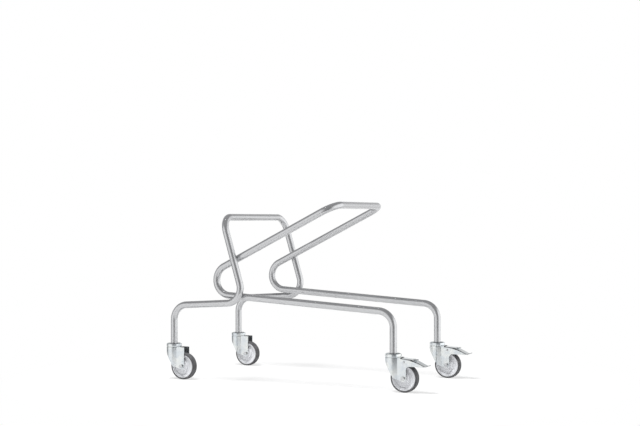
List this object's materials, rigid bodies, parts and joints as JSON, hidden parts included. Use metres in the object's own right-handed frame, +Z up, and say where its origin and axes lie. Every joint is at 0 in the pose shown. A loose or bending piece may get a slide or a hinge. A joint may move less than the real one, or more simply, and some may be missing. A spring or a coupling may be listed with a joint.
{
  "type": "stacking chair trolley",
  "caption": "Low trolley of two bent round-tube hoops on swivel castors, with slanted seat rails and a back bar that carry a leaning stack of chairs; foot brakes at the front.",
  "frame": {"origin": "on the floor, under the middle of the trolley's box", "axes": "+X along the trolley towards the braked castors, +Y to the left, +Z up"},
  "size_m": [1.0084, 0.532, 0.6419],
  "materials": {
    "frame_lacquer": "satin silver-grey metallic lacquer",
    "zinc_plate": "bright zinc plating on pressed steel",
    "fastener_steel": "zinc plated steel",
    "bearing_steel": "polished steel",
    "hub_plastic": "light grey moulded plastic",
    "tyre_rubber": "dark grey rubber",
    "shoe_rubber": "black rubber",
    "expander_plastic": "black moulded plastic"
  },
  "bodies": {
    "frame": {"rear_hoop": "frame_lacquer", "front_hoop": "frame_lacquer", "weld_beads": "frame_lacquer", "rear_left_expander": "expander_plastic", "rear_left_king_bolt": "fastener_steel", "rear_left_stem_nut": "fastener_steel", "rear_left_top_cup": "zinc_plate", "rear_left_bearing_balls": "bearing_steel", "rear_right_expander": "expander_plastic", "rear_right_king_bolt": "fastener_steel", "rear_right_stem_nut": "fastener_steel", "rear_right_top_cup": "zinc_plate", "rear_right_bearing_balls": "bearing_steel", "front_left_expander": "expander_plastic", "front_left_king_bolt": "fastener_steel", "front_left_stem_nut": "fastener_steel", "front_left_top_cup": "zinc_plate", "front_left_bearing_balls": "bearing_steel", "front_right_expander": "expander_plastic", "front_right_king_bolt": "fastener_steel", "front_right_stem_nut": "fastener_steel", "front_right_top_cup": "zinc_plate", "front_right_bearing_balls": "bearing_steel"},
    "rear_left_swivel": {"rear_left_fork": "zinc_plate", "rear_left_axle_bolt": "fastener_steel", "rear_left_axle_nut": "fastener_steel", "rear_left_axle_sleeve": "fastener_steel"},
    "rear_left_wheel": {"rear_left_wheel_hub": "hub_plastic", "rear_left_tyre": "tyre_rubber"},
    "rear_right_swivel": {"rear_right_fork": "zinc_plate", "rear_right_axle_bolt": "fastener_steel", "rear_right_axle_nut": "fastener_steel", "rear_right_axle_sleeve": "fastener_steel"},
    "rear_right_wheel": {"rear_right_wheel_hub": "hub_plastic", "rear_right_tyre": "tyre_rubber"},
    "front_left_swivel": {"front_left_fork": "zinc_plate", "front_left_axle_bolt": "fastener_steel", "front_left_axle_nut": "fastener_steel", "front_left_axle_sleeve": "fastener_steel", "front_left_brake_pivot": "fastener_steel"},
    "front_left_wheel": {"front_left_wheel_hub": "hub_plastic", "front_left_tyre": "tyre_rubber"},
    "front_left_pedal": {"front_left_brake_pedal": "zinc_plate", "front_left_brake_shoe": "shoe_rubber"},
    "front_right_swivel": {"front_right_fork": "zinc_plate", "front_right_axle_bolt": "fastener_steel", "front_right_axle_nut": "fastener_steel", "front_right_axle_sleeve": "fastener_steel", "front_right_brake_pivot": "fastener_steel"},
    "front_right_wheel": {"front_right_wheel_hub": "hub_plastic", "front_right_tyre": "tyre_rubber"},
    "front_right_pedal": {"front_right_brake_pedal": "zinc_plate", "front_right_brake_shoe": "shoe_rubber"}
  },
  "joints": [
    {"name": "rear_left_swivel", "type": "hinge", "parent": "frame", "child": "rear_left_swivel", "pos_m": [-0.476, 0.238, 0.12], "axis": [0, 0, 1], "continuous": true},
    {"name": "rear_left_roll", "type": "hinge", "parent": "rear_left_swivel", "child": "rear_left_wheel", "pos_m": [-0.434, 0.238, 0.0485], "axis": [0, 1, 0], "continuous": true},
    {"name": "rear_right_swivel", "type": "hinge", "parent": "frame", "child": "rear_right_swivel", "pos_m": [-0.476, -0.238, 0.12], "axis": [0, 0, 1], "continuous": true},
    {"name": "rear_right_roll", "type": "hinge", "parent": "rear_right_swivel", "child": "rear_right_wheel", "pos_m": [-0.434, -0.238, 0.0485], "axis": [0, 1, 0], "continuous": true},
    {"name": "front_left_swivel", "type": "hinge", "parent": "frame", "child": "front_left_swivel", "pos_m": [0.374, 0.2126, 0.12], "axis": [0, 0, 1], "continuous": true},
    {"name": "front_left_roll", "type": "hinge", "parent": "front_left_swivel", "child": "front_left_wheel", "pos_m": [0.416, 0.2126, 0.0485], "axis": [0, 1, 0], "continuous": true},
    {"name": "front_left_brake", "type": "hinge", "parent": "front_left_swivel", "child": "front_left_pedal", "pos_m": [0.42, 0.2126, 0.103], "axis": [0, 1, 0], "range_deg": [0, 11]},
    {"name": "front_right_swivel", "type": "hinge", "parent": "frame", "child": "front_right_swivel", "pos_m": [0.374, -0.2126, 0.12], "axis": [0, 0, 1], "continuous": true},
    {"name": "front_right_roll", "type": "hinge", "parent": "front_right_swivel", "child": "front_right_wheel", "pos_m": [0.416, -0.2126, 0.0485], "axis": [0, 1, 0], "continuous": true},
    {"name": "front_right_brake", "type": "hinge", "parent": "front_right_swivel", "child": "front_right_pedal", "pos_m": [0.42, -0.2126, 0.103], "axis": [0, 1, 0], "range_deg": [0, 11]}
  ]
}
